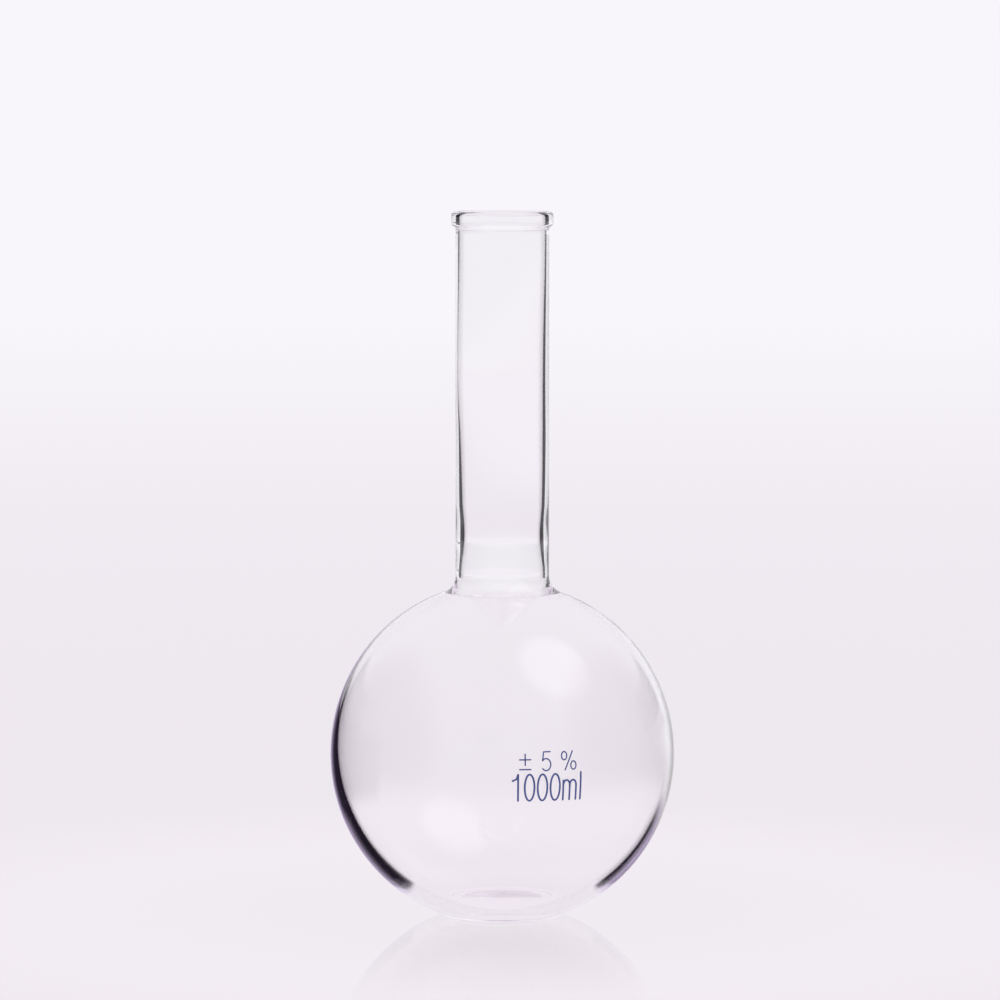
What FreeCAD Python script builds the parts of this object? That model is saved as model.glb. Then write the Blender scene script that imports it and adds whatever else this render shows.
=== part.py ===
# Flat-bottomed boiling flask of one litre with a long neck, in clear borosilicate glass.
# Millimetres, +Z up along the flask's axis, origin at the centre of the foot on the bench.
# Every sub-part is a ring turned about Z: the zones that a glassworker shapes one after another.
import FreeCAD, Part
import math
import os

# Driving dimensions
TOTAL_HEIGHT = 268.0
BULB_OUTSIDE = 131.0
BULB_CENTRE_HEIGHT = 61.7
NECK_OUTSIDE = 35.6
RIM_OUTSIDE = 38.8

# Glass thickness: a blown bulb is thick at the bottom and thin at the shoulder
BULB_WALL = 2.8
BULB_INNER_RISE = 2.0
NECK_WALL = 1.5
BASE_THICKNESS = 3.0

# Foot: a flat ring to stand on round a shallow push-up
PUSH_UP = 1.0
FOOT_RING_WIDTH = 4.5
HEEL_RADIUS = 5.0
INNER_HEEL_RADIUS = 6.0

# Neck root: the collar of gathered glass above the shoulder
SHOULDER_FILLET = 6.5
INNER_SHOULDER_FILLET = 8.0
ROOT_BORE = 31.2
WAIST_BORE = 28.8
WAIST_HEIGHT = 143.5
COLLAR_BORE = 30.6
COLLAR_HEIGHT = 157.0
TAPER_BORE = 31.8
TAPER_HEIGHT = 184.0
BORE_START_HEIGHT = 212.0

# Rim: a bead folded from the neck's end
RIM_HEIGHT = 7.1
RIM_STEP_RADIUS = 1.6
RIM_TOP_RADIUS = 1.5
MOUTH_RADIUS = 1.3

# Where one zone of the flask ends and the next begins
SHOULDER_CUT_ANGLE = 27.0
HEEL_CUT_ANGLE = 152.0
COLLAR_TOP_HEIGHT = 166.0

# Worked out from the driving dimensions
bulb_r = BULB_OUTSIDE / 2
neck_r = NECK_OUTSIDE / 2
rim_r = RIM_OUTSIDE / 2
inner_r = bulb_r - BULB_WALL
inner_centre = BULB_CENTRE_HEIGHT + BULB_INNER_RISE
bore_r = neck_r - NECK_WALL
floor_height = PUSH_UP + BASE_THICKNESS
rim_base = TOTAL_HEIGHT - RIM_HEIGHT


def at(r, z):
    """A point of the turned profile, r from the axis and z above the bench."""
    return FreeCAD.Vector(r, 0, z)


def line(start, end):
    """A straight edge of a profile."""
    return Part.LineSegment(start, end).toShape()


def around(centre, radius, angle):
    """The point at radius from centre, with the angle in degrees from straight up towards +r."""
    turn = math.radians(angle)
    return centre + at(radius * math.sin(turn), radius * math.cos(turn))


def round_edge(centre, radius, start_angle, end_angle):
    """An arc of a profile about centre, with angles in degrees from straight up towards +r."""
    angles = [start_angle, (start_angle + end_angle) / 2, end_angle]
    points = [around(centre, radius, angle) for angle in angles]
    return Part.Arc(*points).toShape()


def angle_of(direction):
    """The angle in degrees of a direction in the profile, from straight up towards +r."""
    return math.degrees(math.atan2(direction.x, direction.z))


def on_sphere(centre, radius, ray_start, angle):
    """Where a ray from ray_start at that angle leaves the circle about centre."""
    direction = around(at(0, 0), 1, angle)
    offset = ray_start - centre
    half = offset.dot(direction)
    reach = math.sqrt(half**2 - offset.dot(offset) + radius**2) - half
    return ray_start + direction * reach


def turned(edges):
    """The solid that a closed profile makes when it turns about the axis."""
    face = Part.Face(Part.Wire(edges))
    return face.revolve(at(0, 0), at(0, 1), 360)


# Centres of the rounds that the zones share
bulb_mid = at(0, BULB_CENTRE_HEIGHT)
inner_mid = at(0, inner_centre)


def heel_centre(sphere_mid, sphere_r, floor, heel_r):
    """Centre of the round that runs from a flat floor into a sphere from the inside."""
    drop = sphere_mid.z - floor - heel_r
    return at(math.sqrt((sphere_r - heel_r) ** 2 - drop**2), floor + heel_r)


def fillet_centre(sphere_mid, sphere_r, wall_r, fillet_r):
    """Centre of the round that runs from the top of a sphere up into a tube."""
    out = wall_r + fillet_r
    return at(out, sphere_mid.z + math.sqrt((sphere_r + fillet_r) ** 2 - out**2))


outer_heel = heel_centre(bulb_mid, bulb_r, 0, HEEL_RADIUS)
inner_heel = heel_centre(inner_mid, inner_r, floor_height, INNER_HEEL_RADIUS)
outer_fillet = fillet_centre(bulb_mid, bulb_r, neck_r, SHOULDER_FILLET)
inner_fillet = fillet_centre(inner_mid, inner_r, ROOT_BORE / 2, INNER_SHOULDER_FILLET)

# The slanted cuts through the wall of the bulb, square to its outside
shoulder_cut_outer = around(bulb_mid, bulb_r, SHOULDER_CUT_ANGLE)
shoulder_cut_inner = on_sphere(inner_mid, inner_r, bulb_mid, SHOULDER_CUT_ANGLE)
heel_cut_outer = around(bulb_mid, bulb_r, HEEL_CUT_ANGLE)
heel_cut_inner = on_sphere(inner_mid, inner_r, bulb_mid, HEEL_CUT_ANGLE)


def neck_bore():
    """The inside of the neck above its root: in over the collar's waist, then out to the plain bore."""
    points = [
        at(ROOT_BORE / 2, inner_fillet.z),
        at(WAIST_BORE / 2, WAIST_HEIGHT),
        at(COLLAR_BORE / 2, COLLAR_HEIGHT),
        at(TAPER_BORE / 2, TAPER_HEIGHT),
        at(bore_r, BORE_START_HEIGHT),
    ]
    curve = Part.BSplineCurve()
    curve.interpolate(Points=points, InitialTangent=at(0, 1), FinalTangent=at(0, 1))
    return curve


def bore_at(curve, z):
    """The parameter of the bore's curve at height z, and the point there."""
    low, high = curve.FirstParameter, curve.LastParameter
    while high - low > 1e-9:
        middle = (low + high) / 2
        if curve.value(middle).z < z:
            low = middle
        else:
            high = middle
    return low, curve.value(low)


def base():
    """The pressed bottom: foot ring, push-up, heel and the thick floor inside."""
    foot_out = at(outer_heel.x, 0)
    foot_in = at(outer_heel.x - FOOT_RING_WIDTH, 0)
    crown_r = (foot_in.x**2 + PUSH_UP**2) / (2 * PUSH_UP)
    crown_mid = at(0, PUSH_UP - crown_r)
    outer_tangent = angle_of(outer_heel - bulb_mid)
    inner_tangent = angle_of(inner_heel - inner_mid)
    return turned(
        [
            round_edge(crown_mid, crown_r, 0, angle_of(foot_in - crown_mid)),
            line(foot_in, foot_out),
            round_edge(outer_heel, HEEL_RADIUS, 180, outer_tangent),
            round_edge(bulb_mid, bulb_r, outer_tangent, HEEL_CUT_ANGLE),
            line(heel_cut_outer, heel_cut_inner),
            round_edge(inner_mid, inner_r, angle_of(heel_cut_inner - inner_mid), inner_tangent),
            round_edge(inner_heel, INNER_HEEL_RADIUS, inner_tangent, 180),
            line(at(inner_heel.x, floor_height), at(0, floor_height)),
            line(at(0, floor_height), at(0, PUSH_UP)),
        ]
    )


def bulb():
    """The blown sphere, between the heel and the shoulder."""
    inner_low = angle_of(heel_cut_inner - inner_mid)
    inner_high = angle_of(shoulder_cut_inner - inner_mid)
    return turned(
        [
            round_edge(bulb_mid, bulb_r, HEEL_CUT_ANGLE, SHOULDER_CUT_ANGLE),
            line(shoulder_cut_outer, shoulder_cut_inner),
            round_edge(inner_mid, inner_r, inner_high, inner_low),
            line(heel_cut_inner, heel_cut_outer),
        ]
    )


def neck_root():
    """The shoulder and the collar of thicker glass where the neck grows out of the bulb."""
    curve = neck_bore()
    stop, collar_top = bore_at(curve, COLLAR_TOP_HEIGHT)
    outer_tangent = angle_of(outer_fillet - bulb_mid)
    inner_tangent = angle_of(inner_fillet - inner_mid)
    inner_cut = angle_of(shoulder_cut_inner - inner_mid)
    return turned(
        [
            round_edge(bulb_mid, bulb_r, SHOULDER_CUT_ANGLE, outer_tangent),
            round_edge(outer_fillet, SHOULDER_FILLET, outer_tangent + 180, 270),
            line(at(neck_r, outer_fillet.z), at(neck_r, COLLAR_TOP_HEIGHT)),
            line(at(neck_r, COLLAR_TOP_HEIGHT), collar_top),
            curve.toShape(curve.FirstParameter, stop),
            round_edge(inner_fillet, INNER_SHOULDER_FILLET, 270, inner_tangent + 180),
            round_edge(inner_mid, inner_r, inner_tangent, inner_cut),
            line(shoulder_cut_inner, shoulder_cut_outer),
        ]
    )


def neck_tube():
    """The long neck, with a plain bore above the taper that leads down to the collar."""
    curve = neck_bore()
    start, collar_top = bore_at(curve, COLLAR_TOP_HEIGHT)
    return turned(
        [
            line(at(neck_r, COLLAR_TOP_HEIGHT), at(neck_r, rim_base)),
            line(at(neck_r, rim_base), at(bore_r, rim_base)),
            line(at(bore_r, rim_base), at(bore_r, BORE_START_HEIGHT)),
            curve.toShape(start, curve.LastParameter),
            line(collar_top, at(neck_r, COLLAR_TOP_HEIGHT)),
        ]
    )


def rim_bead():
    """The bead round the mouth, which swells out of the neck and is fire-polished on top."""
    step = rim_r - neck_r
    swing = math.degrees(math.acos(1 - step / (2 * RIM_STEP_RADIUS)))
    rise = RIM_STEP_RADIUS * math.sin(math.radians(swing))
    hollow = at(neck_r + RIM_STEP_RADIUS, rim_base)
    swell = at(rim_r - RIM_STEP_RADIUS, rim_base + 2 * rise)
    crest = at(rim_r - RIM_TOP_RADIUS, TOTAL_HEIGHT - RIM_TOP_RADIUS)
    mouth = at(bore_r + MOUTH_RADIUS, TOTAL_HEIGHT - MOUTH_RADIUS)
    return turned(
        [
            line(at(bore_r, rim_base), at(neck_r, rim_base)),
            round_edge(hollow, RIM_STEP_RADIUS, 270, 270 + swing),
            round_edge(swell, RIM_STEP_RADIUS, 90 + swing, 90),
            line(at(rim_r, swell.z), at(rim_r, crest.z)),
            round_edge(crest, RIM_TOP_RADIUS, 90, 0),
            line(at(crest.x, TOTAL_HEIGHT), at(mouth.x, TOTAL_HEIGHT)),
            round_edge(mouth, MOUTH_RADIUS, 0, -90),
            line(at(bore_r, mouth.z), at(bore_r, rim_base)),
        ]
    )


SUB_PARTS = {
    "base": base,
    "bulb": bulb,
    "neck_root": neck_root,
    "neck_tube": neck_tube,
    "rim_bead": rim_bead,
}

os.makedirs("parts", exist_ok=True)
for name, make in SUB_PARTS.items():
    shape = make()
    shape.exportStep(f"parts/{name}.step")
    print(name, shape.ShapeType, shape.isValid(), round(shape.Volume / 1000, 2), "cm3")
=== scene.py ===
"""Looks of the one-litre flat-bottom boiling flask: clear blown glass with a blue enamel capacity mark.

Metres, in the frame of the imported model: +Z up along the flask's axis, the printed front faces -Y.
"""

import math

import bpy
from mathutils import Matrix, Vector


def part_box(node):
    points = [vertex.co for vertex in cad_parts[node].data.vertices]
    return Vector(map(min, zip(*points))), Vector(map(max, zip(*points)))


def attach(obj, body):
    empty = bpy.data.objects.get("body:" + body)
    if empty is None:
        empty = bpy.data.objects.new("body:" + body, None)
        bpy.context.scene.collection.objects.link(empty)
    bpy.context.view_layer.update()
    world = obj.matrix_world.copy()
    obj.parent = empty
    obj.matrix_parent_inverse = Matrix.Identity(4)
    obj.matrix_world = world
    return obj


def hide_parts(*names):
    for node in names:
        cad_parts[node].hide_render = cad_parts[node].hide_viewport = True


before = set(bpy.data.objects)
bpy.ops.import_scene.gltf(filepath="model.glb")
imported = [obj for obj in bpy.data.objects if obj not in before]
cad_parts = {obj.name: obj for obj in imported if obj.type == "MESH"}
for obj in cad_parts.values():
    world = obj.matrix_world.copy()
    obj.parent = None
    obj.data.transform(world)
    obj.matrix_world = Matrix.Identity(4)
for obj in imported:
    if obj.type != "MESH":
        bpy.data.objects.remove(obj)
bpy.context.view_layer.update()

# Sizes that the frame gives
bulb_low, bulb_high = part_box("bulb")
neck_low, neck_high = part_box("neck_tube")
rim_low, rim_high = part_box("rim_bead")
BULB_R = (bulb_high[0] - bulb_low[0]) / 2
NECK_R = (neck_high[0] - neck_low[0]) / 2
RIM_R = (rim_high[0] - rim_low[0]) / 2
RIM_BASE = rim_low[2]
TOP = rim_high[2]

# Glass wall, as in the solids
BULB_WALL = 0.0028
BULB_INNER_RISE = 0.0020
NECK_WALL = 0.0015
BULB_CENTRE = 0.0617
INNER_R = BULB_R - BULB_WALL
INNER_CENTRE = BULB_CENTRE + BULB_INNER_RISE
BORE_R = NECK_R - NECK_WALL
PUSH_UP = 0.0010
FLOOR_TOP = 0.0040
FOOT_RING_WIDTH = 0.0045
HEEL_R = 0.0050
INNER_HEEL_R = 0.0060
SHOULDER_FILLET = 0.0065
INNER_SHOULDER_FILLET = 0.0080
ROOT_R = 0.0156

# Bore of the neck above its root: height and radius of the waist, collar, taper and plain bore
BORE_LINE = [(0.1435, 0.0144), (0.1570, 0.0153), (0.1840, 0.0159), (0.2120, BORE_R)]

# Rim bead
RIM_STEP_R = 0.0016
RIM_TOP_R = 0.0015
MOUTH_R = 0.0013

# Mesh fineness: points round the axis, angles along arcs, and steps along the other stretches
AROUND = 360
ARC_STEP = math.radians(1.0)
INNER_HEEL_STEP = ARC_STEP * 2
FILLET_STEP = ARC_STEP * 3
RIM_STEP = math.radians(9)
CROWN_STEPS = 10
FOOT_STEPS = 6
NECK_STEPS = 60
BEAD_STEPS = 4
PLAIN_BORE_STEPS = 24
BORE_SPAN_STEPS = 16
FLOOR_STEPS = 16
SAME_POINT = 1e-7

# Unevenness of the blown inside wall: depth, height where it is full, length of its fade, and its end
RIPPLE = 0.00006
RIPPLE_GROWN = 0.03
RIPPLE_FADE = 0.02
RIPPLE_END = 0.205

# Its waves: count round the axis, radians per metre of height, phase and strength
WAVES = [(2, 21, 0.6, 1.0), (3, -47, 2.1, 0.6), (5, 83, 0.0, 0.4)]

# Lean of the neck's bore to the left, strongest halfway between two heights
NECK_LEAN = 0.0006
LEAN_START = 0.150
LEAN_END = 0.262

# Print: place on the bulb, letter heights and stroke widths
PRINT_TURN = math.radians(15.1)
PRINT_LIFT = 0.000012
PRINT_THICKNESS = 0.00003
UPPER_BASELINE = 0.0011
UPPER_HEIGHT = 0.0070
UPPER_STROKE = 0.00052
LOWER_BASELINE = -0.0101
LOWER_HEIGHT = 0.0099
LOWER_STROKE = 0.00072

# Caps and longest run of a stroke, in stroke widths, and the corners of its cross-section
CAP_LENGTH = 0.42
CAP_WIDTH = 0.55
LONGEST_RUN = 1.2
CORNERS = 4

# Glass and enamel: linear colours
GLASS_IOR = 1.473
GLASS_CLEAR = (1, 1, 1, 1)
GLASS_STREAK = (0.996, 0.992, 0.998, 1)
GLASS_BODY = (0.93, 0.90, 0.935, 1)
ENAMEL_DARK = (0.03, 0.045, 0.17, 1)
ENAMEL_LIGHT = (0.085, 0.12, 0.36, 1)

# Camera, from the photograph's perspective, with lens and sensor in millimetres
CAMERA_PLACE = (-0.00088, -2.213, 0.3337)
CAMERA_TILT = math.radians(4.53)
CAMERA_LENS = 210.3
CAMERA_SENSOR = 36.0
CAMERA_CLIP = 200.0

# Bench: a wide round top a hair below the foot
BENCH_R = 60.0
BENCH_SIDES = 96
BENCH_DROP = 0.00002
BENCH_IOR = 1.45
BENCH_ROUGHNESS = 0.02

# Pale studio, and the painted shade, lilac, fringe, dark and mirror-image tint that only light through
# the glass finds in it: linear colours
FAR_COLOUR = (0.939, 0.922, 0.964, 1)
MIDDLE_COLOUR = (0.855, 0.808, 0.862, 1)
NEAR_COLOUR = (0.955, 0.905, 0.960, 1)
# Painted darker tint of the studio seen in the flask's mirror image
PAINTED_IMAGE_TINT = (0.70, 0.61, 0.68, 1)
SHADE_COLOUR = (0.34, 0.28, 0.34, 1)
# Painted lilac shade that the glass edges show beside the dark arcs
PAINTED_LILAC_COLOUR = (0.66, 0.53, 0.80, 1)
# Painted dark reflection on the outside of the bulb's edges
PAINTED_FRINGE_COLOUR = (0.05, 0.035, 0.07, 1)
# Painted dark, which the glass edges show as the bulb's dark arcs and the neck's dark lines
PAINTED_DARK_COLOUR = (0.006, 0.004, 0.008, 1)

# How often light may bounce inside the glass wall
LIGHT_BOUNCES = 96

# Counts on light's way, halfway between whole numbers: glass surfaces passed, and bounces
ENTERED = 0.5
CROSSED = 2.5
CROSSED_MORE = 4.5
BOUNCED_OFTEN = 2.5

# Every pair of numbers from here on says where a mask is 0 and where it is 1

# Soft light in front, to the right and above: its direction, its edge as a cosine, and its gain
SOFT_LIGHT_WAY = (0.506, -0.239, 0.829)
SOFT_LIGHT_EDGE = (0.90, 0.965)
SOFT_LIGHT_GAIN = 0.9

# Painted dark strips to the left and right behind the flask, for light thrown back within one wall, by
# the parts of a direction
STRIP_INNER = (0.49, 0.55)
STRIP_OUTER = (0.95, 0.85)
STRIP_BEHIND = (0.0, 0.1)
STRIP_HEIGHT = (0.26, 0.18)

# Painted dark beside pale windows in the backdrop: half width of a window as a tangent, and height of the
# dark
LOW_WINDOW = 0.12
LOW_HEIGHT = (0.06, 0.0)
LOW_SHARE = 0.95
GUIDED_WINDOW = 0.7
GUIDED_HEIGHT = (0.5, 0.4)
FRINGE_WINDOW = 0.43
FRINGE_HEIGHT = (0.20, 0.02)
WINDOW_EDGE = 0.06

# How much of the painted dark is left before the flask, and how softly that begins
DARK_BEFORE = 0.1
BEFORE_EDGE = 0.02

# Zones of the bench painted dark to the left and right of the bulb: limits across, along and from the
# axis
DARK_LEFT = ((-0.0395, -0.0425), (-0.033, -0.023), (40.0, 10.0))
DARK_RIGHT = ((0.0405, 0.0435), (-0.017, -0.007), (0.20, 0.11))

# The same zones by the cosine at which light left the bulb, which counts for less far off
SKIM_LEFT = (0.36, 0.31)
SKIM_RIGHT = (0.30, 0.25)
SKIM_RIGHT_END = (0.11, 0.16)
SKIM_LILAC = (0.27, 0.22)
SKIM_FRINGE = (0.40, 0.34)
FRINGE_LEFT = (0.13, 0.29)
FRINGE_RIGHT = (0.22, 0.29)
FRINGE_SHIFT = 0.06
FAR_OFF = (0.13, 0.20)

# Light from the neck: how near the axis it set off, its reach, and the bulb's share in the painted dark
# strips
NECK_START = 0.03
NECK_EDGE = (-0.001, 0.002)
NECK_REACH = (0.25, 0.4)
LIMB_REACH = (0.5, 1.5)
LIMB_SHARE = 0.4

# Painted shade on the sides of the studio, only for light from one glass wall, by the part of a direction
# across and by reach
SHADE_SIDE = (0.55, 0.95)
SHADE_REACH = (0.12, 0.35)

# Reach at which the bench changes colour, and at which it does so for light from one wall
NEAR_REACH = (0.04, 0.35)
FAR_REACH = (0.5, 5.0)
WALL_REACH = (0.06, 0.6)

# Gain for light that crossed the flask from the bench near by, and loss for light from far off
CLEAR_GAIN = 0.075
CLOSE_START = (0.02, 0.06)
CLOSE_END = (0.28, 0.13)
MIDDLE_START = (1.3, 2.0)
MIDDLE_END = (3.2, 2.2)
MIDDLE_SHARE = 0.55
BENCH_LOSS = 0.045
LOSS_REACH = (3.0, 6.0)
BACKDROP_LOSS = 0.07

# Reach of the bench's gloss, which is kept close round the foot
GLOSS_START = (0.021, 0.024)
GLOSS_END = (0.26, 0.05)


def arc(centre, radius, start, end, step):
    """Points (r, z) on an arc about centre, with angles from straight up towards +r."""
    count = max(2, math.ceil(abs(end - start) / step))
    angles = [start + (end - start) * i / count for i in range(count + 1)]
    return [(centre[0] + radius * math.sin(a), centre[1] + radius * math.cos(a)) for a in angles]


def heel_centre(sphere_z, sphere_r, floor, heel_r):
    """Centre of the round that runs from a flat floor into a sphere from the inside."""
    drop = sphere_z - floor - heel_r
    return math.sqrt((sphere_r - heel_r) ** 2 - drop**2), floor + heel_r


def fillet_centre(sphere_z, sphere_r, wall_r, fillet_r):
    """Centre of the round that runs from the top of a sphere up into a tube."""
    out = wall_r + fillet_r
    return out, sphere_z + math.sqrt((sphere_r + fillet_r) ** 2 - out**2)


def bearing(point, centre_z):
    """Angle of a point seen from a centre on the axis, from straight up towards +r."""
    return math.atan2(point[0], point[1] - centre_z)


def straight(start, end, count):
    """Points along a straight stretch, both ends included."""
    return [
        (start[0] + (end[0] - start[0]) * i / count, start[1] + (end[1] - start[1]) * i / count)
        for i in range(count + 1)
    ]


def smooth_line(knots, per_span):
    """Points (r, z) of a smooth line through knots (z, r), upright at both ends."""
    slopes = [0.0]
    for before, after in zip(knots, knots[2:]):
        slopes.append((after[1] - before[1]) / (after[0] - before[0]))
    slopes.append(0.0)
    points = []
    for k in range(len(knots) - 1):
        (z0, r0), (z1, r1) = knots[k], knots[k + 1]
        span = z1 - z0
        for i in range(per_span):
            t = i / per_span
            r = r0 * (1 + 2 * t) * (1 - t) ** 2 + r1 * t * t * (3 - 2 * t)
            r += span * (slopes[k] * t * (1 - t) ** 2 + slopes[k + 1] * t * t * (t - 1))
            points.append((r, z0 + span * t))
    return points + [(knots[-1][1], knots[-1][0])]


def outer_profile():
    """Outside of the glass, from the middle of the push-up to the top of the rim."""
    heel = heel_centre(BULB_CENTRE, BULB_R, 0, HEEL_R)
    fillet = fillet_centre(BULB_CENTRE, BULB_R, NECK_R, SHOULDER_FILLET)
    foot_in = heel[0] - FOOT_RING_WIDTH
    crown_r = (foot_in**2 + PUSH_UP**2) / (2 * PUSH_UP)
    crown = (0, PUSH_UP - crown_r)
    crown_edge = bearing((foot_in, 0), crown[1])
    heel_turn = bearing(heel, BULB_CENTRE)
    fillet_turn = bearing(fillet, BULB_CENTRE)
    swing = math.acos(1 - (RIM_R - NECK_R) / (2 * RIM_STEP_R))
    rise = RIM_STEP_R * math.sin(swing)
    hollow = (NECK_R + RIM_STEP_R, RIM_BASE)
    swell = (RIM_R - RIM_STEP_R, RIM_BASE + 2 * rise)
    crest = (RIM_R - RIM_TOP_R, TOP - RIM_TOP_R)
    points = arc(crown, crown_r, 0, crown_edge, crown_edge / CROWN_STEPS)
    points += straight((foot_in, 0), (heel[0], 0), FOOT_STEPS)
    points += arc(heel, HEEL_R, math.pi, heel_turn, ARC_STEP)
    points += arc((0, BULB_CENTRE), BULB_R, heel_turn, fillet_turn, ARC_STEP)
    points += arc(fillet, SHOULDER_FILLET, fillet_turn + math.pi, 1.5 * math.pi, FILLET_STEP)
    points += straight((NECK_R, fillet[1]), (NECK_R, RIM_BASE), NECK_STEPS)
    points += arc(hollow, RIM_STEP_R, 1.5 * math.pi, 1.5 * math.pi + swing, RIM_STEP)
    points += arc(swell, RIM_STEP_R, math.pi / 2 + swing, math.pi / 2, RIM_STEP)
    points += straight((RIM_R, swell[1]), (RIM_R, crest[1]), BEAD_STEPS)
    points += arc(crest, RIM_TOP_R, math.pi / 2, 0, RIM_STEP)
    return points


def inner_profile():
    """Inside of the glass, from the rim's mouth down to the middle of the floor."""
    heel = heel_centre(INNER_CENTRE, INNER_R, FLOOR_TOP, INNER_HEEL_R)
    fillet = fillet_centre(INNER_CENTRE, INNER_R, ROOT_R, INNER_SHOULDER_FILLET)
    heel_turn = bearing(heel, INNER_CENTRE)
    fillet_turn = bearing(fillet, INNER_CENTRE)
    mouth = (BORE_R + MOUTH_R, TOP - MOUTH_R)
    bore = smooth_line([(fillet[1], ROOT_R)] + BORE_LINE, BORE_SPAN_STEPS)
    points = arc(mouth, MOUTH_R, 0, -math.pi / 2, RIM_STEP)
    points += straight((BORE_R, mouth[1]), bore[-1], PLAIN_BORE_STEPS)
    points += reversed(bore)
    points += arc(fillet, INNER_SHOULDER_FILLET, 1.5 * math.pi, fillet_turn + math.pi, FILLET_STEP)
    points += arc((0, INNER_CENTRE), INNER_R, fillet_turn, heel_turn, ARC_STEP)
    points += arc(heel, INNER_HEEL_R, heel_turn, math.pi, INNER_HEEL_STEP)
    points += straight((heel[0], FLOOR_TOP), (0, FLOOR_TOP), FLOOR_STEPS)
    return points


def without_repeats(points):
    """The profile without the doubled points where one stretch meets the next."""
    kept = [points[0]]
    for point in points[1:]:
        if math.dist(point, kept[-1]) > SAME_POINT:
            kept.append(point)
    return kept


def ripple(angle, z):
    """How far the blown inside wall strays inwards, slowly round the bulb and up the neck."""
    fade = min(1, z / RIPPLE_GROWN) * min(1, max(0, (RIPPLE_END - z) / RIPPLE_FADE))
    waves = [size * math.sin(count * angle + climb * z + phase) for count, climb, phase, size in WAVES]
    rise = min(1, max(0, (z - LEAN_START) / (LEAN_END - LEAN_START)))
    lean = NECK_LEAN * math.sin(math.pi * rise) ** 2 * math.sin(angle)
    return lean + RIPPLE * fade * sum(waves)


def make_mesh(name, vertices, faces):
    """A smooth mesh object."""
    mesh = bpy.data.meshes.new(name)
    mesh.from_pydata(vertices, [], faces)
    mesh.polygons.foreach_set("use_smooth", [True] * len(mesh.polygons))
    mesh.update()
    piece = bpy.data.objects.new(name, mesh)
    bpy.context.collection.objects.link(piece)
    return piece


def glass_body():
    """The whole flask as one closed skin of glass, turned about the axis."""
    outside = without_repeats(outer_profile())
    inside = without_repeats(inner_profile())
    rings = outside[1:] + inside[1:-1]
    first_inside = len(outside) - 1
    vertices = []
    for row, (r, z) in enumerate(rings):
        for i in range(AROUND):
            angle = 2 * math.pi * i / AROUND
            inset = ripple(angle, z) if row >= first_inside else 0
            vertices.append(((r - inset) * math.sin(angle), -(r - inset) * math.cos(angle), z))
    vertices.append((0, 0, outside[0][1]))
    vertices.append((0, 0, inside[-1][1]))
    under, over = len(vertices) - 2, len(vertices) - 1
    faces = []
    last = (len(rings) - 1) * AROUND
    for i in range(AROUND):
        j = (i + 1) % AROUND
        faces.append((under, j, i))
        faces.append((over, last + i, last + j))
        for row in range(len(rings) - 1):
            low, high = row * AROUND, (row + 1) * AROUND
            faces.append((low + i, low + j, high + j, high + i))
    return make_mesh("flask_glass", vertices, faces)


def oval(x, y, half_width, half_height, start=0.0, end=360.0, count=32):
    """Points of an oval stroke, with angles in degrees from +x towards +y."""
    turns = [math.radians(start + (end - start) * i / count) for i in range(count + 1)]
    return [(x + half_width * math.cos(t), y + half_height * math.sin(t)) for t in turns]


# Each sign as strokes in a box one unit tall, with the width that it takes up
def sign_one():
    """A plain figure one with a short flag."""
    return 0.46, [[(0.26, 0), (0.26, 1)], [(0.26, 1), (0.2, 0.83), (0.05, 0.76)]]


def sign_nought():
    """A tall narrow nought."""
    return 0.495, [oval(0.235, 0.5, 0.185, 0.5)]


def sign_m():
    """A small letter m of two arches."""
    arches = [oval(x, 0.55, 0.13, 0.2, 180, 0, 14) for x in (0.19, 0.45)]
    legs = [[(x, 0), (x, 0.55)] for x in (0.32, 0.58)]
    return 0.72, [[(0.06, 0), (0.06, 0.74)]] + arches + legs


def sign_l():
    """A small letter l."""
    return 0.16, [[(0.05, 0), (0.05, 1.03)]]


def sign_plus_minus():
    """A cross over a bar."""
    bars = [[(0.06, y), (0.66, y)] for y in (0.6, 0.08)]
    return 1.24, bars + [[(0.36, 0.3), (0.36, 0.9)]]


def sign_five():
    """A figure five: a bar, a stem and a bowl."""
    bowl = oval(0.25, 0.32, 0.25, 0.32, 138, -140, 24)
    return 1.06, [[(0.48, 1), (0.12, 1), (0.06, 0.53)], bowl]


def sign_per_cent():
    """Two small rings and a slanted bar."""
    rings = [oval(0.2, 0.76, 0.15, 0.22, count=24), oval(0.72, 0.24, 0.15, 0.22, count=24)]
    return 0.92, rings + [[(0.24, 0), (0.68, 1)]]


def on_bulb(across, up, lift):
    """A point of the print, by its place along the front of the bulb and its height over the equator."""
    turn = PRINT_TURN + across / BULB_R
    rise = up / BULB_R
    reach = BULB_R + lift
    flat = reach * math.cos(rise)
    return flat * math.sin(turn), -flat * math.cos(turn), BULB_CENTRE + reach * math.sin(rise)


def divided(stroke, longest):
    """The stroke with its long runs divided, so that it can follow the bulb."""
    points = [stroke[0]]
    for start, end in zip(stroke, stroke[1:]):
        count = max(1, math.ceil(math.dist(start, end) / longest))
        points += straight(start, end, count)[1:]
    return points


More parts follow.
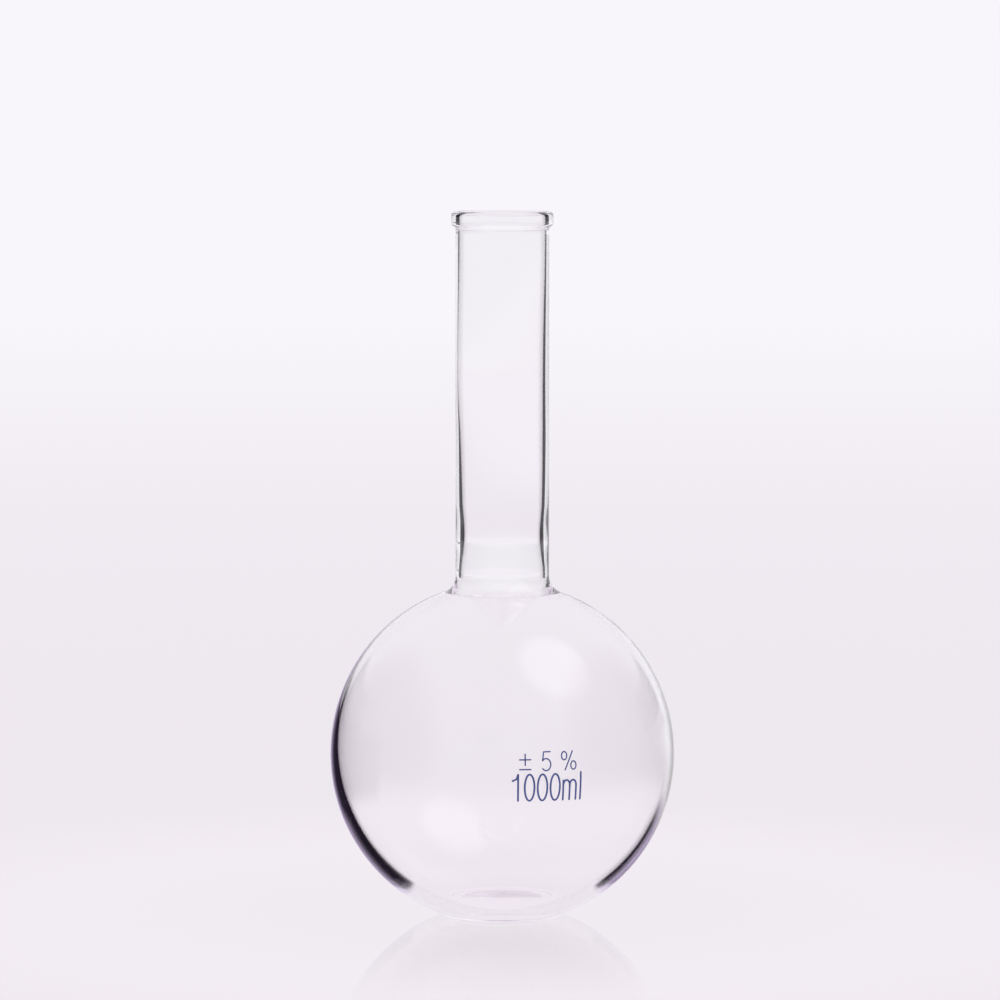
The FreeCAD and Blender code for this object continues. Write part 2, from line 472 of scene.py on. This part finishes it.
def stroke_sides(stroke, width):
    """Left and right edges of a stroke, square to its run, with narrower caps at open ends."""
    closed = math.dist(stroke[0], stroke[-1]) < SAME_POINT
    path = stroke[:-1] if closed else stroke
    count = len(path)
    left, right = [], []
    for i, (x, y) in enumerate(path):
        before = path[i - 1] if closed or i else path[0]
        after = path[(i + 1) % count] if closed or i < count - 1 else path[-1]
        along = Vector((after[0] - before[0], after[1] - before[1])).normalized()
        left.append((x - along.y * width / 2, y + along.x * width / 2))
        right.append((x + along.y * width / 2, y - along.x * width / 2))
    if closed:
        return left + left[:1], right + right[:1]
    for end, step in ((0, 1), (-1, -2)):
        tip = Vector(path[end]) - Vector(path[step])
        bulge = tip.normalized() * width * CAP_LENGTH
        middle = Vector(path[end])
        cap_left = middle + (Vector(left[end]) - middle) * CAP_WIDTH + bulge
        cap_right = middle + (Vector(right[end]) - middle) * CAP_WIDTH + bulge
        spot = 0 if end == 0 else len(left)
        left.insert(spot, tuple(cap_left))
        right.insert(spot, tuple(cap_right))
    return left, right


def stroke_skin(left, right, start):
    """Corners and faces of one closed raised stroke, with start as the number of its first corner."""
    vertices, faces = [], []
    for a, b in zip(left, right):
        for side, lift in ((a, 0), (b, 0), (b, PRINT_THICKNESS), (a, PRINT_THICKNESS)):
            vertices.append(on_bulb(side[0], side[1], PRINT_LIFT + lift))
    end = start + CORNERS * (len(left) - 1)
    for low in range(start, end, CORNERS):
        high = low + CORNERS
        for k in range(CORNERS):
            after = (k + 1) % CORNERS
            faces.append((low + k, low + after, high + after, high + k))
    faces.append((start + 3, start + 2, start + 1, start))
    faces.append((end, end + 1, end + 2, end + 3))
    return vertices, faces


def print_line(name, signs, baseline, height, stroke_width):
    """One line of the print as a thin raised skin of enamel on the bulb."""
    total = sum(width for width, strokes in signs) * height
    vertices, faces = [], []
    pen = -total / 2
    for width, strokes in signs:
        for stroke in strokes:
            scaled = [(pen + x * height, baseline + y * height) for x, y in stroke]
            left, right = stroke_sides(divided(scaled, stroke_width * LONGEST_RUN), stroke_width)
            more_vertices, more_faces = stroke_skin(left, right, len(vertices))
            vertices += more_vertices
            faces += more_faces
        pen += width * height
    return make_mesh(name, vertices, faces)


def new_material(name):
    """A material with an empty node tree and its output node."""
    material = bpy.data.materials.new(name)
    material.use_nodes = True
    tree = material.node_tree
    tree.nodes.clear()
    return material, tree, tree.nodes.new("ShaderNodeOutputMaterial")


def add(tree, kind, settings=None, **inputs):
    """A node with settings on itself, and values or links on its inputs, by name or by number as i0."""
    node = tree.nodes.new(kind)
    for key, value in (settings or {}).items():
        setattr(node, key, value)
    for key, value in inputs.items():
        number = key[1:]
        socket = node.inputs[int(number) if number.isdigit() else key.replace("_", " ")]
        if isinstance(value, bpy.types.NodeSocket):
            tree.links.new(value, socket)
        else:
            socket.default_value = value
    return node


def maths(tree, operation, first, second=0.0):
    """The result of a sum on two values or links."""
    return add(tree, "ShaderNodeMath", {"operation": operation}, i0=first, i1=second).outputs[0]


def between(tree, value, start, end):
    """A smooth rise from 0 at start to 1 at end, level beyond them; start may be the larger one."""
    settings = {"interpolation_type": "SMOOTHSTEP"}
    node = add(tree, "ShaderNodeMapRange", settings, Value=value, From_Min=start, From_Max=end)
    return node.outputs[0]


def mixed(tree, share, first, second):
    """A colour between two colours."""
    node = add(tree, "ShaderNodeMix", {"data_type": "RGBA"}, i0=share, i6=first, i7=second)
    return node.outputs[2]


def glass_material():
    """Clear borosilicate glass, with the faint streaks of tint that a blown melt keeps."""
    material, tree, output = new_material("clear_glass")
    place = add(tree, "ShaderNodeTexCoord").outputs["Object"]
    streaks = add(tree, "ShaderNodeTexNoise", Vector=place, Scale=24.0, Detail=2.0, Distortion=0.6)
    tint = mixed(tree, streaks.outputs["Fac"], GLASS_CLEAR, GLASS_STREAK)
    surface = add(
        tree,
        "ShaderNodeBsdfPrincipled",
        Base_Color=tint,
        Roughness=0.0,
        IOR=GLASS_IOR,
        Transmission_Weight=1.0,
    )
    body = add(tree, "ShaderNodeVolumeAbsorption", Color=GLASS_BODY, Density=20.0)
    tree.links.new(surface.outputs[0], output.inputs["Surface"])
    tree.links.new(body.outputs[0], output.inputs["Volume"])
    return material


def enamel_material():
    """Fired blue enamel: a thin, slightly mottled and grainy glaze."""
    material, tree, output = new_material("blue_enamel")
    place = add(tree, "ShaderNodeTexCoord").outputs["Object"]
    mottle = add(tree, "ShaderNodeTexNoise", Vector=place, Scale=900.0, Detail=3.0)
    grain = add(tree, "ShaderNodeTexNoise", Vector=place, Scale=6000.0, Detail=2.0)
    colour = mixed(tree, mottle.outputs["Fac"], ENAMEL_DARK, ENAMEL_LIGHT)
    bump = add(tree, "ShaderNodeBump", Strength=0.25, Distance=0.00002, Height=grain.outputs["Fac"])
    roughness = add(tree, "ShaderNodeMapRange", Value=grain.outputs["Fac"], To_Min=0.35, To_Max=0.55)
    surface = add(
        tree,
        "ShaderNodeBsdfPrincipled",
        Base_Color=colour,
        Roughness=roughness.outputs[0],
        Normal=bump.outputs["Normal"],
    )
    tree.links.new(surface.outputs[0], output.inputs["Surface"])
    return material


def product(tree, *factors):
    """All the factors multiplied."""
    result = factors[0]
    for factor in factors[1:]:
        result = maths(tree, "MULTIPLY", result, factor)
    return result


def largest(tree, *values):
    """The largest of the values."""
    result = values[0]
    for value in values[1:]:
        result = maths(tree, "MAXIMUM", result, value)
    return result


def light_through(tree):
    """Masks for light thrown back within one wall, light across the inside, and its mirror image."""
    path = add(tree, "ShaderNodeLightPath")
    passed = path.outputs["Transmission Depth"]
    limits = (ENTERED, CROSSED, CROSSED_MORE)
    entered, crossed, more = [maths(tree, "GREATER_THAN", passed, limit) for limit in limits]
    odd = maths(tree, "MODULO", path.outputs["Glossy Depth"], 2.0)
    edge = product(tree, maths(tree, "SUBTRACT", entered, crossed), odd)
    image = product(tree, maths(tree, "SUBTRACT", crossed, more), odd)
    return edge, crossed, image


def thrown_back(tree):
    """Mask for light that the outside of the glass throws back."""
    path = add(tree, "ShaderNodeLightPath")
    outside = maths(tree, "LESS_THAN", path.outputs["Transmission Depth"], ENTERED)
    return product(tree, path.outputs["Is Glossy Ray"], outside)


def bounced_often(tree):
    """Mask for light that bounced along inside the glass."""
    path = add(tree, "ShaderNodeLightPath")
    return maths(tree, "GREATER_THAN", path.outputs["Glossy Depth"], BOUNCED_OFTEN)


def behind(tree, y):
    """1 behind the flask, and less before it."""
    return add(
        tree,
        "ShaderNodeMapRange",
        {"interpolation_type": "SMOOTHSTEP"},
        Value=y,
        From_Min=-BEFORE_EDGE,
        From_Max=BEFORE_EDGE,
        To_Min=DARK_BEFORE,
    ).outputs[0]


def left_of_window(tree, x, y, window):
    """1 to the left of a pale window behind the flask, and less of that before the flask."""
    past = maths(tree, "ADD", x, maths(tree, "MULTIPLY", maths(tree, "ABSOLUTE", y), window))
    return product(tree, between(tree, past, 0.0, -WINDOW_EDGE), behind(tree, y))


def painted_dark_strips(tree, x, y):
    """1 in the painted dark strips to the left and right behind the flask."""
    aside = maths(tree, "ABSOLUTE", x)
    strips = product(tree, between(tree, aside, *STRIP_INNER), between(tree, aside, *STRIP_OUTER))
    return product(tree, strips, between(tree, y, *STRIP_BEHIND))


def side_shade(tree, across, one_wall):
    """How far the painted shade on the studio's sides shows in light from one wall of the glass."""
    return product(tree, one_wall, between(tree, maths(tree, "ABSOLUTE", across), *SHADE_SIDE))


def painted_backdrop_dark(tree, x, y, z):
    """Where the backdrop is painted dark for light thrown back within one wall."""
    low = product(tree, left_of_window(tree, x, y, LOW_WINDOW), between(tree, z, *LOW_HEIGHT), LOW_SHARE)
    strips = product(tree, painted_dark_strips(tree, x, y), between(tree, z, *STRIP_HEIGHT))
    window = maths(tree, "MULTIPLY", y, GUIDED_WINDOW)
    past = maths(tree, "SUBTRACT", maths(tree, "ABSOLUTE", x), window)
    beside = product(tree, between(tree, past, 0.0, WINDOW_EDGE), between(tree, z, *GUIDED_HEIGHT))
    return largest(tree, low, strips, product(tree, bounced_often(tree), beside))


def backdrop_level(tree, way, crossed):
    """Brightness of the backdrop: its soft light, and a loss for light that crossed the flask."""
    nearness = add(tree, "ShaderNodeVectorMath", {"operation": "DOT_PRODUCT"}, i0=way, i1=SOFT_LIGHT_WAY)
    glow = product(tree, between(tree, nearness.outputs["Value"], *SOFT_LIGHT_EDGE), SOFT_LIGHT_GAIN)
    level = maths(tree, "SUBTRACT", 1.0, product(tree, crossed, BACKDROP_LOSS))
    return maths(tree, "ADD", glow, level)


def studio_world():
    """A pale wrap-round backdrop with a soft light, and painted dark sides that only the glass edges
    catch.
    """
    world = bpy.data.worlds.new("studio")
    bpy.context.scene.world = world
    world.use_nodes = True
    tree = world.node_tree
    tree.nodes.clear()
    way = add(tree, "ShaderNodeTexCoord").outputs["Generated"]
    x, y, z = add(tree, "ShaderNodeSeparateXYZ", Vector=way).outputs
    edge, crossed, image = light_through(tree)
    outer = thrown_back(tree)
    shade = side_shade(tree, x, largest(tree, outer, edge))
    left = product(tree, left_of_window(tree, x, y, FRINGE_WINDOW), between(tree, z, *FRINGE_HEIGHT))
    fringe = product(tree, outer, left)
    dark = product(tree, edge, painted_backdrop_dark(tree, x, y, z))
    # Painted darker tint for light seen in the flask's mirror image
    colour = mixed(tree, image, FAR_COLOUR, PAINTED_IMAGE_TINT)
    # Painted shade for light from one wall, darkening the bulb's sides
    colour = mixed(tree, shade, colour, SHADE_COLOUR)
    # Painted dark reflection for light that the outside of the glass throws back
    colour = mixed(tree, fringe, colour, PAINTED_FRINGE_COLOUR)
    # Painted dark for light thrown back within one wall: the dark lines at the glass edges
    colour = mixed(tree, dark, colour, PAINTED_DARK_COLOUR)
    light = add(tree, "ShaderNodeBackground", Color=colour, Strength=backdrop_level(tree, way, crossed))
    output = tree.nodes.new("ShaderNodeOutputWorld")
    tree.links.new(light.outputs[0], output.inputs["Surface"])


def from_neck(tree, reach, across):
    """Mask for light that set off near the axis, at the neck, and not at the side of the bulb."""
    length = add(tree, "ShaderNodeLightPath").outputs["Ray Length"]
    square = maths(tree, "SUBTRACT", product(tree, length, length), BULB_CENTRE**2)
    level = maths(tree, "SQRT", maths(tree, "MAXIMUM", square, 0.0))
    start = maths(tree, "SUBTRACT", reach, level)
    limit = maths(tree, "MULTIPLY", maths(tree, "ABSOLUTE", across), NECK_START)
    inside = between(tree, maths(tree, "SUBTRACT", limit, start), *NECK_EDGE)
    return product(tree, inside, between(tree, reach, *NECK_REACH))


def steepness(tree, reach):
    """Cosine of the angle to the bulb's normal at which light left the bulb for this spot."""
    length = add(tree, "ShaderNodeLightPath").outputs["Ray Length"]
    beyond = maths(tree, "SUBTRACT", product(tree, reach, reach), product(tree, length, length))
    rest = maths(tree, "ADD", beyond, BULB_CENTRE**2 - BULB_R**2)
    return maths(tree, "DIVIDE", rest, product(tree, length, 2 * BULB_R))


def arc_zones(tree, x, y, reach):
    """The zones of the bench to the left and right, painted dark to make the dark arcs of the bulb."""
    return [
        product(tree, between(tree, x, *across), between(tree, y, *along), between(tree, reach, *out))
        for across, along, out in (DARK_LEFT, DARK_RIGHT)
    ]


def arc_core(tree, left, right, steep, far_off):
    """Where light thrown back within the bulb's wall finds painted dark in the two zones."""
    left = product(tree, left, largest(tree, between(tree, steep, *SKIM_LEFT), far_off))
    right = product(tree, right, between(tree, steep, *SKIM_RIGHT), between(tree, steep, *SKIM_RIGHT_END))
    return largest(tree, left, right)


def painted_arc_fringe(tree, left, right, steep, far_off):
    """Where light thrown back by the bulb's outside finds painted dark in the two zones, short of its
    edge.
    """
    shifted = maths(tree, "ADD", steep, product(tree, far_off, FRINGE_SHIFT))
    left = product(tree, left, between(tree, shifted, *FRINGE_LEFT))
    right = product(tree, right, between(tree, steep, *FRINGE_RIGHT))
    skimming = largest(tree, between(tree, steep, *SKIM_FRINGE), far_off)
    return product(tree, largest(tree, left, right), skimming)


def bench_edges(tree, x, y, reach, edge, outer):
    """Painted shade, lilac, fringe and dark: masks of the bench that only the glass edges catch."""
    across = maths(tree, "DIVIDE", x, reach)
    along = maths(tree, "DIVIDE", y, reach)
    one_wall = largest(tree, outer, edge)
    neck = from_neck(tree, reach, across)
    bulb = maths(tree, "SUBTRACT", 1.0, neck)
    shade = product(tree, side_shade(tree, across, one_wall), bulb, between(tree, reach, *SHADE_REACH))
    steep = steepness(tree, reach)
    far_off = between(tree, reach, *FAR_OFF)
    left, right = arc_zones(tree, x, y, reach)
    lilac = product(tree, one_wall, largest(tree, left, right), bulb, between(tree, steep, *SKIM_LILAC))
    fringe = product(tree, outer, painted_arc_fringe(tree, left, right, steep, far_off), bulb)
    arcs = product(tree, bulb, arc_core(tree, left, right, steep, far_off))
    limb = product(tree, between(tree, reach, *LIMB_REACH), LIMB_SHARE)
    strips = product(tree, painted_dark_strips(tree, across, along), largest(tree, neck, limb))
    guided = product(tree, bounced_often(tree), neck)
    dark = product(tree, edge, largest(tree, arcs, strips, guided))
    return shade, lilac, fringe, dark


def bench_pale(tree, reach, image, one_wall):
    """Colour of the pale bench, which fades into the backdrop, and its painted darker tint in the flask's
    mirror image.
    """
    pale = mixed(tree, between(tree, reach, *NEAR_REACH), NEAR_COLOUR, MIDDLE_COLOUR)
    pale = mixed(tree, between(tree, reach, *FAR_REACH), pale, FAR_COLOUR)
    pale = mixed(tree, image, pale, PAINTED_IMAGE_TINT)
    wall_pale = mixed(tree, between(tree, reach, *WALL_REACH), MIDDLE_COLOUR, FAR_COLOUR)
    return mixed(tree, one_wall, pale, wall_pale)


def bench_level(tree, reach, crossed):
    """Brightness of the bench, with a gain and a loss for light that crossed the flask."""
    close = product(tree, between(tree, reach, *CLOSE_END), between(tree, reach, *CLOSE_START))
    middle = product(tree, between(tree, reach, *MIDDLE_START), between(tree, reach, *MIDDLE_END))
    nearer = largest(tree, close, product(tree, middle, MIDDLE_SHARE))
    clear = product(tree, crossed, nearer, CLEAR_GAIN)
    loss = product(tree, crossed, between(tree, reach, *LOSS_REACH), BENCH_LOSS)
    return maths(tree, "SUBTRACT", maths(tree, "ADD", clear, 1.0), loss)


def bench_gloss(tree, reach, dark):
    """How far the bench mirrors: close round the foot, and not where it is painted dark."""
    mirror = add(tree, "ShaderNodeFresnel", IOR=BENCH_IOR).outputs[0]
    near_foot = product(tree, between(tree, reach, *GLOSS_END), between(tree, reach, *GLOSS_START))
    return product(tree, mirror, near_foot, maths(tree, "SUBTRACT", 1.0, dark))


def floor_material():
    """A pale glossy bench that fades into the backdrop, painted dark beside the flask for its edges
    alone.
    """
    material, tree, output = new_material("pale_bench")
    place = add(tree, "ShaderNodeTexCoord").outputs["Object"]
    x, y = add(tree, "ShaderNodeSeparateXYZ", Vector=place).outputs[:2]
    reach = add(tree, "ShaderNodeVectorMath", {"operation": "LENGTH"}, Vector=place).outputs["Value"]
    edge, crossed, image = light_through(tree)
    outer = thrown_back(tree)
    shade, lilac, fringe, dark = bench_edges(tree, x, y, reach, edge, outer)
    colour = bench_pale(tree, reach, image, largest(tree, outer, edge))
    # Painted shade for light from one wall, darkening the bulb's sides
    colour = mixed(tree, shade, colour, SHADE_COLOUR)
    # Painted lilac shade beside the dark arcs, for light from one wall
    colour = mixed(tree, lilac, colour, PAINTED_LILAC_COLOUR)
    # Painted dark reflection for light that the outside of the bulb throws back
    colour = mixed(tree, fringe, colour, PAINTED_FRINGE_COLOUR)
    # Painted dark for light thrown back within one wall: the bulb's dark arcs and the neck's lines
    colour = mixed(tree, dark, colour, PAINTED_DARK_COLOUR)
    matt = add(tree, "ShaderNodeEmission", Color=colour, Strength=bench_level(tree, reach, crossed))
    gloss = add(tree, "ShaderNodeBsdfGlossy", Roughness=BENCH_ROUGHNESS)
    share = bench_gloss(tree, reach, largest(tree, fringe, dark))
    surface = add(tree, "ShaderNodeMixShader", i0=share, i1=matt.outputs[0], i2=gloss.outputs[0])
    tree.links.new(surface.outputs[0], output.inputs["Surface"])
    return material


def floor():
    """A wide round bench top, a hair below the foot."""
    turns = [2 * math.pi * i / BENCH_SIDES for i in range(BENCH_SIDES)]
    rim = [(BENCH_R * math.cos(turn), BENCH_R * math.sin(turn), 0) for turn in turns]
    bench = make_mesh("bench", rim, [tuple(range(BENCH_SIDES))])
    bench.location.z = -BENCH_DROP
    bench.data.materials.append(floor_material())


def camera():
    """The photograph's viewpoint."""
    data = bpy.data.cameras.new("camera")
    data.lens = CAMERA_LENS
    data.sensor_width = CAMERA_SENSOR
    data.clip_end = CAMERA_CLIP
    eye = bpy.data.objects.new("camera", data)
    eye.location = CAMERA_PLACE
    eye.rotation_euler = (math.pi / 2 - CAMERA_TILT, 0, 0)
    bpy.context.collection.objects.link(eye)
    bpy.context.scene.camera = eye


bpy.context.scene.view_settings.view_transform = "Standard"
cycles = bpy.context.scene.cycles
cycles.max_bounces = LIGHT_BOUNCES
cycles.glossy_bounces = LIGHT_BOUNCES
cycles.transmission_bounces = LIGHT_BOUNCES

flask = glass_body()
flask.data.materials.append(glass_material())
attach(flask, "root")
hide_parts("base", "bulb", "neck_root", "neck_tube", "rim_bead")

enamel = enamel_material()
UPPER_SIGNS = [sign_plus_minus(), sign_five(), sign_per_cent()]
LOWER_SIGNS = [sign_one(), sign_nought(), sign_nought(), sign_nought(), sign_m(), sign_l()]
for print_piece in (
    print_line("print_tolerance", UPPER_SIGNS, UPPER_BASELINE, UPPER_HEIGHT, UPPER_STROKE),
    print_line("print_capacity", LOWER_SIGNS, LOWER_BASELINE, LOWER_HEIGHT, LOWER_STROKE),
):
    print_piece.data.materials.append(enamel)
    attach(print_piece, "root")

studio_world()
floor()
camera()
